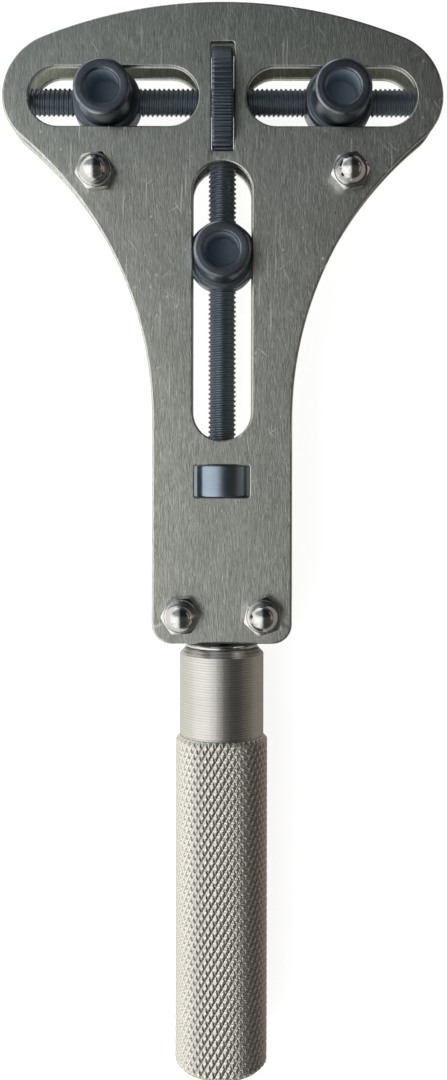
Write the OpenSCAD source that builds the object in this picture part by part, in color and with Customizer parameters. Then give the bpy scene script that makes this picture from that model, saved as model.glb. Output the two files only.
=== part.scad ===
// Adjustable three-jaw opener for the screwed backs of watch cases.
// Two slotted plates are bolted together, and three bit holders slide in their slots.
// A thumbwheel on a spindle with opposed threads moves the two upper holders together.
// Turning the handle turns the long spindle, which moves the lower holder.
// The tool lies flat: +X across the plates, +Y towards the head, +Z up through the sockets.

/* [Plates] */
// Length of each plate, from the neck's lower edge to the crown
plate_len = 107; // [104:0.5:110]
// Width of each plate across the shoulders
plate_w = 73.6; // [73:0.1:76]
// Width of the parallel neck
neck_w = 23.4; // [22.8:0.1:24.5]
// Thickness of each plate
plate_t = 1.5; // [1.2:0.1:1.8]
// Clear gap between the plates
plate_gap = 5.6; // [5.4:0.1:6]
// Radius of the crown at the top edge
crown_r = 80.9; // [76:0.1:86]
// Radius of each shoulder above its widest point
shoulder_top_r = 10.8; // [10:0.1:12]
// Radius of each shoulder below its widest point
shoulder_low_r = 8.8; // [8:0.1:9.6]
// Radius of the hollow flanks
flank_r = 61.4; // [58:0.1:64]
// Radius of the neck's lower corners
corner_r = 3.3; // [1:0.1:5]

/* [Slots and windows] */
// Height of the cross spindle's axis above the plates' lower edge
cross_y = 91.2; // [91:0.1:92]
// Width of the slots that the holders slide in
slot_w = 9.9; // [9.8:0.1:10.2]
// Distance from the centre line to the inner end of each cross slot
cross_slot_in = 4; // [3.6:0.1:4.4]
// Distance from the centre line to the outer end of each cross slot
cross_slot_out = 32.4; // [32:0.1:33]
// Lower end of the long slot
long_slot_low = 33.9; // [33:0.1:34.5]
// Upper end of the long slot
long_slot_top = 80.4; // [80:0.1:81]
// Clearance between the thumbwheel's faces and its window, on each side
wheel_window_gap = 0.15; // [0.1:0.01:0.3]
// Clearance between a window and the round part that rises through it, at each end
window_end_gap = 0.3; // [0.15:0.01:0.4]
// Lower end of the thrust collar's window
collar_window_low = 24.4; // [24:0.1:25]
// Length of the thrust collar's window
collar_window_len = 5.4; // [5.2:0.1:6]

/* [Spindles] */
// Outer diameter of both spindles' threads
spindle_d = 4.7; // [4.2:0.1:4.8]
// Length of the cross spindle
cross_spindle_len = 69; // [66:0.5:71]
// Diameter of the long spindle's plain journal
journal_d = 3.6; // [3:0.1:3.8]
// Running clearance of a spindle in its bore, on the radius
run_clear = 0.04; // [0.03:0.01:0.06]
// Diameter of the thumbwheel
wheel_d = 18.4; // [18:0.1:18.5]
// Width of the thumbwheel
wheel_w = 3.6; // [3.2:0.1:4]
// Diameter of the thrust collar
collar_d = 10.3; // [10:0.1:10.4]

/* [Bit holders] */
// Distance of each upper holder from the centre line
upper_holder_x = 19.6; // [14:0.1:26]
// Height of the lower holder above the plates' lower edge
lower_holder_y = 64.9; // [42:0.1:74]
// Diameter of the holder's barrel
barrel_d = 9.4; // [9:0.1:9.5]
// Diameter of the flange between the plates
flange_d = 11.7; // [11:0.1:12]
// Height of the rim above the spindle axis
rim_z = 10.2; // [9.6:0.1:11]
// Diameter of the socket
socket_d = 5.5; // [5:0.1:5.8]
// Depth of the socket
socket_depth = 7; // [6:0.1:7]

/* [Handle] */
// Diameter of the turned neck
handle_neck_d = 14.2; // [13.6:0.1:14.8]
// Diameter of the grip
grip_d = 15.5; // [15:0.1:16]
// Distance from the plates' lower edge to the handle's upper end
handle_gap = 0.95; // [0.8:0.05:1.2]
// Length of the turned neck
handle_neck_len = 14.85; // [14:0.05:16]
// Length of the grip
grip_len = 55.7; // [50:0.1:60]
// Diameter of the thrust washer
washer_d = 12.2; // [11.6:0.1:12.6]
// Thickness of the thrust washer
washer_t = 0.75; // [0.5:0.05:0.75]

/* [Fasteners] */
// Distance of the upper screws from the centre line
upper_screw_x = 21.1; // [20:0.1:22]
// Height of the upper screws above the plates' lower edge
upper_screw_y = 78.4; // [78:0.1:79]
// Distance of the lower screws from the centre line
lower_screw_x = 6.8; // [6.4:0.1:7.2]
// Height of the lower screws above the plates' lower edge
lower_screw_y = 4.9; // [4.6:0.1:5.4]
// Nominal diameter of the screws
screw_d = 3; // [2.5:0.1:3]
// Size of the cap nuts across their flats
nut_af = 5.8; // [5.5:0.1:6]
// Total height of a cap nut
nut_h = 5.6; // [5.4:0.1:6]

/* [Hidden] */
$fn = 64;
eps = 0.5;

half_w = plate_w / 2;
half_neck = neck_w / 2;
half_gap = plate_gap / 2;
plate_top_z = half_gap + plate_t;
spindle_r = spindle_d / 2;
journal_r = journal_d / 2;
screw_r = screw_d / 2;
wheel_r = wheel_d / 2;

// The lowest point is the thumbwheel's rim, so the spindle axes lie one wheel radius up.
axis_z = wheel_r;
handle_low_y = -(handle_gap + handle_neck_len + grip_len);
origin_y = (plate_len + handle_low_y) / 2;

// Centres of the arcs that make the plates' outline
crown_y = plate_len - crown_r;
shoulder_top_x = half_w - shoulder_top_r;
shoulder_low_x = half_w - shoulder_low_r;
shoulder_y = crown_y + sqrt(pow(crown_r - shoulder_top_r, 2) - pow(shoulder_top_x, 2));
flank_x = half_neck + flank_r;
flank_y = shoulder_y - sqrt(pow(flank_r + shoulder_low_r, 2) - pow(flank_x - shoulder_low_x, 2));
crown_angle = atan2(shoulder_y - crown_y, shoulder_top_x);
flank_angle = atan2(shoulder_y - flank_y, shoulder_low_x - flank_x);
arc_steps = 12;
slot_end_steps = 20;
window_corner_r = 0.4;

// Details of the turned parts
flange_half_t = half_gap - 0.1;
boss_low_z = -(plate_top_z - 0.2);
rim_chamfer = 0.55;
mouth_chamfer = 0.3;
flange_chamfer = 0.5;
collar_end_gap = 0.1;
collar_len = collar_window_len - 2 * collar_end_gap;
collar_low_y = collar_window_low + collar_end_gap;
spindle_tip_gap = 0.45;
spindle_tip_y = cross_y - wheel_r - spindle_tip_gap;
small_chamfer = 0.3;
journal_depth = 13;
journal_low_y = -(handle_gap + journal_depth);
neck_chamfer = 1;
grip_top_chamfer = 0.65;
grip_end_chamfer = 0.8;
set_screw_y = -9;
set_screw_recess = 0.6;
set_screw_socket_af = 1.5;

// Fastener details
hole_r = screw_r + 0.1;
spacer_r = 3;
screw_head_r = 2.75;
screw_head_h = 1.8;
screw_slot_w = 0.8;
screw_slot_depth = 0.8;
screw_end_z = plate_top_z + 3.2;
nut_bore_depth = 3.4;
nut_hex_h = 2.4;
nut_dome_r = 2.4;
nut_corner_r = nut_af / 2 / cos(30);
nut_edge_r = nut_af / 2 - 0.1;
nut_edge_drop = 0.35;
nut_turns = [8, 12, 3, 18];
screw_turns = [20, -35, 70, 5];
block_w = 20.4;
block_low_y = 0.6;
block_top_y = 11.6;

screw_spots = [
    [-upper_screw_x, upper_screw_y],
    [upper_screw_x, upper_screw_y],
    [-lower_screw_x, lower_screw_y],
    [lower_screw_x, lower_screw_y]
];

// Points along an arc from angle a0 to angle a1
function arc(centre, r, a0, a1, steps) = [
    for (i = [0:steps])
        let (a = a0 + (a1 - a0) * i / steps)
        [centre[0] + r * cos(a), centre[1] + r * sin(a)]
];

// The same points mirrored across the centre line, in reverse order
function mirrored(points) = [
    for (i = [len(points) - 1:-1:0]) [-points[i][0], points[i][1]]
];

right_edge = concat(
    arc([half_neck - corner_r, corner_r], corner_r, -90, 0, arc_steps),
    arc([flank_x, flank_y], flank_r, 180, flank_angle, 2 * arc_steps),
    arc([shoulder_low_x, shoulder_y], shoulder_low_r, flank_angle - 180, -1, arc_steps),
    arc([shoulder_top_x, shoulder_y], shoulder_top_r, 1, crown_angle, arc_steps),
    arc([0, crown_y], crown_r, crown_angle + 1, 90, arc_steps)
);

// A slot with round ends, from [x0, y0] to [x1, y1] between its extreme ends
module slot_outline(from, to, width) {
    r = width / 2;
    lengthwise = abs(to[0] - from[0]) > abs(to[1] - from[1]) ? 0 : 90;
    dir = [cos(lengthwise), sin(lengthwise)];
    polygon(concat(
        arc(from + r * dir, r, lengthwise + 90, lengthwise + 270, slot_end_steps),
        arc(to - r * dir, r, lengthwise - 90, lengthwise + 90, slot_end_steps)
    ));
}

// A rectangle with rounded corners, from its lower left to its upper right corner
module window_outline(low, high, r) {
    polygon(concat(
        arc([high[0] - r, low[1] + r], r, -90, 0, 4),
        arc([high[0] - r, high[1] - r], r, 0, 90, 4),
        arc([low[0] + r, high[1] - r], r, 90, 180, 4),
        arc([low[0] + r, low[1] + r], r, 180, 270, 4)
    ));
}

// Places parts drawn from the plates' lower edge and the spindle plane in the tool's frame
module in_tool_frame() {
    translate([0, -origin_y, axis_z]) children();
}

// Places a part turned about Z on the cross spindle's axis, pointing along +X
module along_x() {
    rotate([0, 90, 0]) children();
}

// Places a part turned about Z on the long spindle's axis, pointing along +Y
module along_y() {
    rotate([-90, 0, 0]) children();
}

// A plain shaft about Z with chamfered ends
module chamfered_shaft(r, low, high, chamfer) {
    rotate_extrude()
        polygon([
            [0, low], [r - chamfer, low], [r, low + chamfer],
            [r, high - chamfer], [r - chamfer, high], [0, high]
        ]);
}

// One plate with its slots, windows and screw holes, from z = low_z upwards
module plate(low_z) {
    wheel_half_x = wheel_w / 2 + wheel_window_gap;
    wheel_half_y = sqrt(pow(wheel_r, 2) - pow(half_gap, 2)) + window_end_gap;
    collar_half_x = sqrt(pow(collar_d / 2, 2) - pow(half_gap, 2)) + window_end_gap;
    translate([0, 0, low_z])
        linear_extrude(plate_t)
            difference() {
                polygon(concat(right_edge, mirrored(right_edge)));
                for (side = [-1, 1])
                    slot_outline(
                        [side < 0 ? -cross_slot_out : cross_slot_in, cross_y],
                        [side < 0 ? -cross_slot_in : cross_slot_out, cross_y],
                        slot_w
                    );
                slot_outline([0, long_slot_low], [0, long_slot_top], slot_w);
                window_outline(
                    [-wheel_half_x, cross_y - wheel_half_y],
                    [wheel_half_x, cross_y + wheel_half_y],
                    window_corner_r
                );
                window_outline(
                    [-collar_half_x, collar_window_low],
                    [collar_half_x, collar_window_low + collar_window_len],
                    window_corner_r
                );
                for (spot = screw_spots)
                    translate(spot) circle(r = hole_r);
            }
}

// A bit holder about Z: boss, flange, barrel and socket, bored across for its spindle
module holder(bore_along_y) {
    barrel_r = barrel_d / 2;
    flange_r = flange_d / 2;
    socket_r = socket_d / 2;
    bore_turn = bore_along_y ? 90 : 0;
    difference() {
        rotate_extrude()
            polygon([
                [0, boss_low_z],
                [barrel_r - small_chamfer, boss_low_z],
                [barrel_r, boss_low_z + small_chamfer],
                [barrel_r, -flange_half_t],
                [flange_r, -flange_half_t],
                [flange_r, flange_half_t - flange_chamfer],
                [flange_r - flange_chamfer, flange_half_t],
                [barrel_r, flange_half_t],
                [barrel_r, rim_z - rim_chamfer],
                [barrel_r - rim_chamfer, rim_z],
                [socket_r + mouth_chamfer, rim_z],
                [socket_r, rim_z - mouth_chamfer],
                [socket_r, rim_z - socket_depth],
                [0, rim_z - socket_depth]
            ]);
        rotate([0, 0, bore_turn])
            along_x()
                cylinder(r = spindle_r + run_clear, h = flange_d + 2 * eps, center = true);
    }
}

// A slotted cheese-head screw, entering from the back plate
module screw(turn) {
    difference() {
        union() {
            translate([0, 0, -plate_top_z - screw_head_h])
                cylinder(r = screw_head_r, h = screw_head_h);
            translate([0, 0, -plate_top_z - screw_head_h / 2])
                cylinder(r = screw_r, h = plate_top_z + screw_head_h / 2 + screw_end_z);
        }
        rotate([0, 0, turn])
            translate([0, 0, -plate_top_z - screw_head_h])
                cube([3 * screw_head_r, screw_slot_w, 2 * screw_slot_depth], center = true);
    }
}

// A hexagon cap nut with a domed top, on the front plate
module cap_nut() {
    dome_y = nut_h - nut_dome_r;
    translate([0, 0, plate_top_z])
        difference() {
            union() {
                intersection() {
                    cylinder(r = nut_corner_r, h = nut_hex_h, $fn = 6);
                    rotate_extrude()
                        polygon([
                            [0, -eps], [nut_corner_r + eps, -eps],
                            [nut_corner_r + eps, nut_hex_h - nut_edge_drop],
                            [nut_corner_r, nut_hex_h - nut_edge_drop],
                            [nut_edge_r, nut_hex_h], [0, nut_hex_h]
                        ]);
                }
                rotate_extrude()
                    polygon(concat(
                        [[0, nut_hex_h - eps], [nut_dome_r, nut_hex_h - eps]],
                        arc([0, dome_y], nut_dome_r, 0, 90, 10)
                    ));
            }
            translate([0, 0, -eps])
                cylinder(r = screw_r, h = nut_bore_depth + eps);
        }
}

// A sleeve round an upper screw, holding the plates apart
module spacer() {
    difference() {
        cylinder(r = spacer_r, h = plate_gap, center = true);
        cylinder(r = hole_r, h = plate_gap + 2 * eps, center = true);
    }
}

module front_plate() {
    color("silver") in_tool_frame() plate(half_gap);
}

module back_plate() {
    color("silver") in_tool_frame() plate(-plate_top_z);
}

// The block between the plates that carries the long spindle's journal
module bearing_block() {
    color("dimgray")
        in_tool_frame()
            difference() {
                translate([0, 0, -half_gap])
                    linear_extrude(plate_gap)
                        window_outline([-block_w / 2, block_low_y], [block_w / 2, block_top_y], 1);
                translate([0, block_low_y - eps, 0])
                    along_y()
                        cylinder(r = journal_r + run_clear, h = block_top_y - block_low_y + 2 * eps);
                for (side = [-1, 1])
                    translate([side * lower_screw_x, lower_screw_y, 0])
                        cylinder(r = hole_r, h = plate_gap + 2 * eps, center = true);
            }
}

module upper_spacer(index) {
    color("gray") in_tool_frame() translate(screw_spots[index]) spacer();
}

module plate_screw(index) {
    color("lightgray") in_tool_frame() translate(screw_spots[index]) screw(screw_turns[index]);
}

module plate_nut(index) {
    color("gainsboro")
        in_tool_frame()
            translate(screw_spots[index])
                rotate([0, 0, nut_turns[index]]) cap_nut();
}

// The left half carries a left-hand thread and the right half a right-hand thread
module cross_spindle() {
    color("darkslategray")
        in_tool_frame()
            translate([0, cross_y, 0])
                along_x()
                    chamfered_shaft(
                        spindle_r, -cross_spindle_len / 2, cross_spindle_len / 2, small_chamfer
                    );
}

module thumbwheel() {
    color("darkslategray")
        in_tool_frame()
            translate([0, cross_y, 0])
                along_x()
                    difference() {
                        chamfered_shaft(wheel_r, -wheel_w / 2, wheel_w / 2, small_chamfer);
                        cylinder(r = spindle_r, h = wheel_w + 2 * eps, center = true);
                    }
}

module holder_left() {
    color("darkslategray")
        in_tool_frame() translate([-upper_holder_x, cross_y, 0]) holder(false);
}

module holder_right() {
    color("darkslategray")
        in_tool_frame() translate([upper_holder_x, cross_y, 0]) holder(false);
}

module holder_lower() {
    color("darkslategray")
        in_tool_frame() translate([0, lower_holder_y, 0]) holder(true);
}

// Threaded above the collar, with a plain journal below it that ends inside the handle
module lower_spindle() {
    color("darkslategray")
        in_tool_frame()
            along_y()
                rotate_extrude()
                    polygon([
                        [0, journal_low_y],
                        [journal_r - small_chamfer, journal_low_y],
                        [journal_r, journal_low_y + small_chamfer],
                        [journal_r, collar_low_y],
                        [spindle_r, collar_low_y],
                        [spindle_r, spindle_tip_y - small_chamfer],
                        [spindle_r - small_chamfer, spindle_tip_y],
                        [0, spindle_tip_y]
                    ]);
}

module thrust_collar() {
    color("darkslategray")
        in_tool_frame()
            along_y()
                difference() {
                    chamfered_shaft(
                        collar_d / 2, collar_low_y, collar_low_y + collar_len, small_chamfer
                    );
                    translate([0, 0, collar_low_y - eps])
                        cylinder(r = spindle_r, h = collar_len + 2 * eps);
                }
}

module thrust_washer() {
    color("gainsboro")
        in_tool_frame()
            along_y()
                translate([0, 0, -handle_gap])
                    difference() {
                        chamfered_shaft(washer_d / 2, 0, washer_t, small_chamfer);
                        translate([0, 0, -eps])
                            cylinder(r = journal_r, h = washer_t + 2 * eps);
                    }
}

// Turned neck and grip in one piece, bored for the journal and tapped for the set screw
module handle() {
    neck_r = handle_neck_d / 2;
    grip_r = grip_d / 2;
    neck_low_y = -(handle_gap + handle_neck_len);
    color("lightgray")
        in_tool_frame()
            difference() {
                along_y()
                    rotate_extrude()
                        polygon([
                            [0, handle_low_y],
                            [grip_r - grip_end_chamfer, handle_low_y],
                            [grip_r, handle_low_y + grip_end_chamfer],
                            [grip_r, neck_low_y - grip_top_chamfer],
                            [grip_r - grip_top_chamfer, neck_low_y],
                            [neck_r, neck_low_y],
                            [neck_r, -handle_gap - neck_chamfer],
                            [neck_r - neck_chamfer, -handle_gap],
                            [journal_r, -handle_gap],
                            [journal_r, journal_low_y],
                            [0, journal_low_y]
                        ]);
                translate([0, set_screw_y, -neck_r - eps])
                    cylinder(r = screw_r, h = neck_r + eps - journal_r / 2);
            }
}

// Headless screw on the underside of the neck, bearing on the journal
module handle_set_screw() {
    low_z = -(handle_neck_d / 2 - set_screw_recess);
    color("dimgray")
        in_tool_frame()
            translate([0, set_screw_y, low_z])
                difference() {
                    cylinder(r = screw_r, h = -low_z - journal_r);
                    translate([0, 0, -eps])
                        cylinder(r = set_screw_socket_af / 2 / cos(30), h = 1.4 + eps, $fn = 6);
                }
}

front_plate();
back_plate();
bearing_block();
upper_spacer(0);  // upper_spacer_left
upper_spacer(1);  // upper_spacer_right
plate_screw(0);  // screw_upper_left
plate_screw(1);  // screw_upper_right
plate_screw(2);  // screw_lower_left
plate_screw(3);  // screw_lower_right
plate_nut(0);  // cap_nut_upper_left
plate_nut(1);  // cap_nut_upper_right
plate_nut(2);  // cap_nut_lower_left
plate_nut(3);  // cap_nut_lower_right
cross_spindle();
thumbwheel();
holder_left();
holder_right();
holder_lower();
lower_spindle();
thrust_collar();
thrust_washer();
handle();
handle_set_screw();
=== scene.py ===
"""Looks of the adjustable three-jaw case opener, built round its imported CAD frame.

Shapes are drawn in millimetres, as the tool is designed: X across the plates, Y up from the
plates' lower edge, Z up from the plane of the two spindles. place() puts them in the frame. A
shell is a pair: a list of vertices, in those millimetres, and a list of faces.
"""

from math import atan2, ceil, cos, degrees, hypot, pi, radians, sin, sqrt, tan

import bmesh
import bpy
from mathutils import Matrix, Vector


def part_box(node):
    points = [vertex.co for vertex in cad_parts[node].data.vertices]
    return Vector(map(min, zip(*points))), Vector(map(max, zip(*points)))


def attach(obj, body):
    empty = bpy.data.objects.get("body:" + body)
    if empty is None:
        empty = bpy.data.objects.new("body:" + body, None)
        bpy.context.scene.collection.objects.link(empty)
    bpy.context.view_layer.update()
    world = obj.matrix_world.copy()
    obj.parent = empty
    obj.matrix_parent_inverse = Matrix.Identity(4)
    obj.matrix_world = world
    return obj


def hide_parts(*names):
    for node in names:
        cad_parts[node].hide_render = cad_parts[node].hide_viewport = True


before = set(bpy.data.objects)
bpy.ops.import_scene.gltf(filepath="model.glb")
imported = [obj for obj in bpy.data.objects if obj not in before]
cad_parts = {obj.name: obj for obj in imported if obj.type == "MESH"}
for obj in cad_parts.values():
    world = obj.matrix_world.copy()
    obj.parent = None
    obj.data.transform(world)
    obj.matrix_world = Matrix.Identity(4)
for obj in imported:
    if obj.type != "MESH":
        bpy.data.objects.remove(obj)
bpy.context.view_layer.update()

MM = 0.001


def node_box(node):
    """Lowest and highest corner of a CAD node, in millimetres of the row's frame."""
    low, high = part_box(node)
    return low / MM, high / MM


# ---------------------------------------------------------------- sizes taken from the frame
plate_box = node_box("front_plate")
spindle_box = node_box("cross_spindle")
wheel_box = node_box("thumbwheel")
grip_box = node_box("handle")
barrel_box = node_box("holder_left")
collar_box = node_box("thrust_collar")
washer_box = node_box("thrust_washer")
block_box = node_box("bearing_block")
long_box = node_box("lower_spindle")

DATUM = Vector((0, plate_box[0].y, (spindle_box[0].z + spindle_box[1].z) / 2))

PLATE_LENGTH = plate_box[1].y - plate_box[0].y
HALF_WIDTH = plate_box[1].x
PLATE_INNER_Z = plate_box[0].z - DATUM.z
PLATE_OUTER_Z = plate_box[1].z - DATUM.z
CROSS_Y = (spindle_box[0].y + spindle_box[1].y) / 2 - DATUM.y
SPINDLE_R = (spindle_box[1].y - spindle_box[0].y) / 2
CROSS_HALF_LENGTH = spindle_box[1].x
LONG_TIP_Y = long_box[1].y - DATUM.y
LONG_LOW_Y = long_box[0].y - DATUM.y
WHEEL_R = (wheel_box[1].y - wheel_box[0].y) / 2
WHEEL_HALF_W = wheel_box[1].x
RIM_Z = barrel_box[1].z - DATUM.z
BOSS_Z = barrel_box[0].z - DATUM.z
FLANGE_R = (barrel_box[1].x - barrel_box[0].x) / 2
HOLDER_X = -(barrel_box[0].x + barrel_box[1].x) / 2
LOWER_HOLDER_Y = (node_box("holder_lower")[0].y + node_box("holder_lower")[1].y) / 2 - DATUM.y
COLLAR_R = collar_box[1].x
COLLAR_Y = (collar_box[0].y - DATUM.y, collar_box[1].y - DATUM.y)
WASHER_R = washer_box[1].x
WASHER_Y = (washer_box[0].y - DATUM.y, washer_box[1].y - DATUM.y)
GRIP_R = grip_box[1].x
HANDLE_Y = (grip_box[0].y - DATUM.y, grip_box[1].y - DATUM.y)

# ---------------------------------------------------------------- sizes of the design, in mm
# A slot or window is given by its two ends, the windows' gap by that at the sides and that at
# the ends, and a pair of screws by the X and Y of the right-hand one.
HALF_NECK = 11.7
CROWN_R = 80.9
SHOULDER_TOP_R = 10.8
SHOULDER_LOW_R = 8.8
FLANK_R = 61.4
CORNER_R = 3.3
SLOT_W = 9.9
CROSS_SLOT = (4.0, 32.4)
LONG_SLOT = (33.9, 80.4)
WINDOW_GAP = (0.15, 0.3)
COLLAR_WINDOW_Y = (24.4, 29.8)
WINDOW_CORNER_R = 0.4
OUTLINE_EDGE_R = 0.42
SLOT_EDGE_R = 0.28
WINDOW_EDGE_R = 0.22
HOLE_EDGE_R = 0.1
UPPER_SCREW = (21.1, 78.4)
LOWER_SCREW = (6.8, 4.9)
SCREW_HOLE_R = 1.6
SCREW_HEAD_R = 2.75
SCREW_HEAD_H = 1.8
JOURNAL_R = 1.8
BORE_GAP = 0.04
FLANGE_PLAY = 0.1
FLANGE_HALF_T = PLATE_INNER_Z - FLANGE_PLAY
BARREL_R = 4.7
SOCKET_R = 2.75
SOCKET_DEPTH = 7.0
NECK_R = 7.1
NECK_LENGTH = 14.85
THREAD_PITCH = 0.8
THREAD_DEPTH = 0.30
WHEEL_TEETH = 59
KNURL_AROUND = 41
KNURL_ROWS = 27
KNURL_DEPTH = 0.22


# ---------------------------------------------------------------- mesh helpers
def place(points, turn=None, offset=(0, 0, 0)):
    """Points in the tool's millimetres, turned and moved, as frame coordinates in metres."""
    matrix = turn or Matrix.Identity(3)
    shift = Vector(offset) + DATUM
    return [(matrix @ Vector(p) + shift) * MM for p in points]


ALONG_X = Matrix.Rotation(pi / 2, 3, "Y")
ALONG_Y = Matrix.Rotation(-pi / 2, 3, "X")


def arc(centre, radius, start, end, steps):
    """Points on an arc, angles in degrees."""
    angles = [radians(start + (end - start) * i / steps) for i in range(steps + 1)]
    return [(centre[0] + radius * cos(a), centre[1] + radius * sin(a)) for a in angles]


def filleted(points, radius, steps=3, closed=False):
    """An outline whose corners are rounded off from radius away, or less on a short side."""
    count = len(points)
    rounded = []
    for i, point in enumerate(points):
        if not closed and i in (0, count - 1):
            rounded.append(point)
            continue
        corner = Vector(point)
        back = Vector(points[i - 1]) - corner
        ahead = Vector(points[(i + 1) % count]) - corner
        trim = min(radius, 0.45 * back.length, 0.45 * ahead.length)
        first = corner + back.normalized() * trim
        last = corner + ahead.normalized() * trim
        for k in range(steps + 1):
            t = k / steps
            bend = first * (1 - t) ** 2 + corner * 2 * t * (1 - t) + last * t ** 2
            rounded.append((bend.x, bend.y))
    return rounded


def revolved(profile, segments, closed=False):
    """The shell of a profile of (radius, height) turned about Z."""
    verts, rings, faces = [], [], []
    for r, z in profile:
        if r < 1e-6:
            rings.append([len(verts)] * segments)
            verts.append((0, 0, z))
        else:
            rings.append([len(verts) + k for k in range(segments)])
            verts += [(r * cos(2 * pi * k / segments), r * sin(2 * pi * k / segments), z)
                      for k in range(segments)]
    pairs = list(zip(rings, rings[1:]))
    if closed:
        pairs.append((rings[-1], rings[0]))
    for low, high in pairs:
        for k in range(segments):
            n = (k + 1) % segments
            quad = [low[k], low[n], high[n], high[k]]
            quad = [v for j, v in enumerate(quad) if v not in quad[:j]]
            if len(quad) > 2:
                faces.append(quad)
    return verts, faces


def add_object(name, data):
    """An object with that data, linked into the scene."""
    made = bpy.data.objects.new(name, data)
    bpy.context.scene.collection.objects.link(made)
    return made


def rod(radius, low, high, segments):
    """A shell of a plain rod about Z."""
    return revolved([(0, low), (radius, low), (radius, high), (0, high)], segments)


def make_mesh(name, shell, turn=None, offset=(0, 0, 0)):
    """A mesh of a shell, turned and moved into the frame, with its faces turned outwards."""
    verts, faces = shell
    mesh = bpy.data.meshes.new(name)
    mesh.from_pydata(place(verts, turn, offset), [], faces)
    bm = bmesh.new()
    bm.from_mesh(mesh)
    bmesh.ops.recalc_face_normals(bm, faces=bm.faces)
    bm.to_mesh(mesh)
    bm.free()
    return mesh


def cut(mesh, cutter, operation="DIFFERENCE"):
    """The mesh with the cutter mesh taken away, or joined on."""
    name = mesh.name
    subject = add_object("subject", mesh)
    tool = add_object("tool", cutter)
    modifier = subject.modifiers.new("cut", "BOOLEAN")
    modifier.object = tool
    modifier.operation = operation
    modifier.solver = "EXACT"
    bpy.context.view_layer.update()
    graph = bpy.context.evaluated_depsgraph_get()
    result = bpy.data.meshes.new_from_object(subject.evaluated_get(graph))
    for thing in (subject, tool):
        bpy.data.objects.remove(thing)
    for used in (mesh, cutter):
        bpy.data.meshes.remove(used)
    result.name = name
    return result


def weld(mesh, distance):
    """Merges vertices closer than that distance, in metres, and drops what collapses."""
    bm = bmesh.new()
    bm.from_mesh(mesh)
    bmesh.ops.remove_doubles(bm, verts=bm.verts, dist=distance)
    bmesh.ops.dissolve_degenerate(bm, edges=bm.edges, dist=distance)
    bmesh.ops.recalc_face_normals(bm, faces=bm.faces)
    bm.to_mesh(mesh)
    bm.free()


def set_attribute(mesh, label, values):
    """Gives the mesh's vertices a value each, for its material to read."""
    mesh.attributes.new(label, "FLOAT", "POINT").data.foreach_set("value", values)


def finish_piece(mesh, nodes, body, material, smooth=38):
    """Makes the mesh a shown piece that stands for its CAD nodes and rides on their body."""
    mesh.polygons.foreach_set("use_smooth", [True] * len(mesh.polygons))
    mesh.set_sharp_from_angle(angle=radians(smooth))
    mesh.materials.clear()
    mesh.materials.append(material)
    piece = add_object(mesh.name, mesh)
    normals = piece.modifiers.new("normals", "WEIGHTED_NORMAL")
    normals.keep_sharp = True
    normals.weight = 80
    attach(piece, body)
    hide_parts(*nodes)


# ---------------------------------------------------------------- material helpers
def new_material(name, **constants):
    """A Principled material with constant sockets set by name (spaces written as _)."""
    material = bpy.data.materials.new(name)
    material.use_nodes = True
    shader = material.node_tree.nodes["Principled BSDF"]
    for socket, value in constants.items():
        shader.inputs[socket.replace("_", " ")].default_value = value
    return material, material.node_tree, shader


def connect(tree, shader, **sockets):
    """Links sockets to the shader's inputs, named with _ for spaces."""
    for name, socket in sockets.items():
        tree.links.new(socket, shader.inputs[name.replace("_", " ")])


def node(tree, kind, **inputs):
    """A node of that kind, with its properties set and its inputs set or linked.

    p_ starts a property's name. An input's name has _ for spaces, or it is in and its index.
    """
    made = tree.nodes.new("ShaderNode" + kind)
    for name, value in inputs.items():
        if name.startswith("p_"):
            setattr(made, name[2:], value)
    for name, value in inputs.items():
        if name.startswith("p_"):
            continue
        key = int(name[2:]) if name[:2] == "in" and name[2:].isdigit() else name.replace("_", " ")
        socket = made.inputs[key]
        if isinstance(value, bpy.types.NodeSocket):
            tree.links.new(value, socket)
        else:
            socket.default_value = value
    return made


def math_node(tree, operation, a, b, clamp=False):
    return node(tree, "Math", p_operation=operation, p_use_clamp=clamp, in0=a, in1=b).outputs[0]


def scaled(tree, value, factor, offset=0.0):
    """value * factor + offset."""
    made = node(tree, "Math", p_operation="MULTIPLY_ADD", in0=value, in1=factor, in2=offset)
    return made.outputs[0]


def ramp(tree, value, *stops):
    """A colour ramp through (position, grey or colour) stops."""
    made = node(tree, "ValToRGB", Fac=value)
    elements = made.color_ramp.elements
    while len(elements) < len(stops):
        elements.new(0.5)
    for element, (position, colour) in zip(elements, stops):
        element.position = position
        grey = isinstance(colour, (int, float))
        element.color = (colour, colour, colour, 1) if grey else (*colour, 1)
    return made.outputs["Color"]


def stretched(tree, scale):
    """Object coordinates scaled by axis, so a pattern is drawn out where the scale is small."""
    place_in = node(tree, "TexCoord").outputs["Object"]
    return node(tree, "Mapping", Vector=place_in, Scale=scale).outputs[0]


def noise_value(tree, where, detail=2.0, roughness=0.5):
    """Noise over a vector socket, or over object coordinates scaled by axis."""
    vector = where if isinstance(where, bpy.types.NodeSocket) else stretched(tree, where)
    made = node(tree, "TexNoise", Vector=vector, Scale=1.0, Detail=detail, Roughness=roughness)
    return made.outputs["Fac"]


def mix_colour(tree, factor, a, b, blend="MIX"):
    """Colour a, mixed by factor with colour b. Several inputs share a name, so all go by index."""
    made = tree.nodes.new("ShaderNodeMix")
    made.data_type = "RGBA"
    made.blend_type = blend
    for index, value in ((0, factor), (6, a), (7, b)):
        if isinstance(value, bpy.types.NodeSocket):
            tree.links.new(value, made.inputs[index])
        else:
            made.inputs[index].default_value = value if index == 0 else (*value, 1)
    return made.outputs[2]


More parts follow.
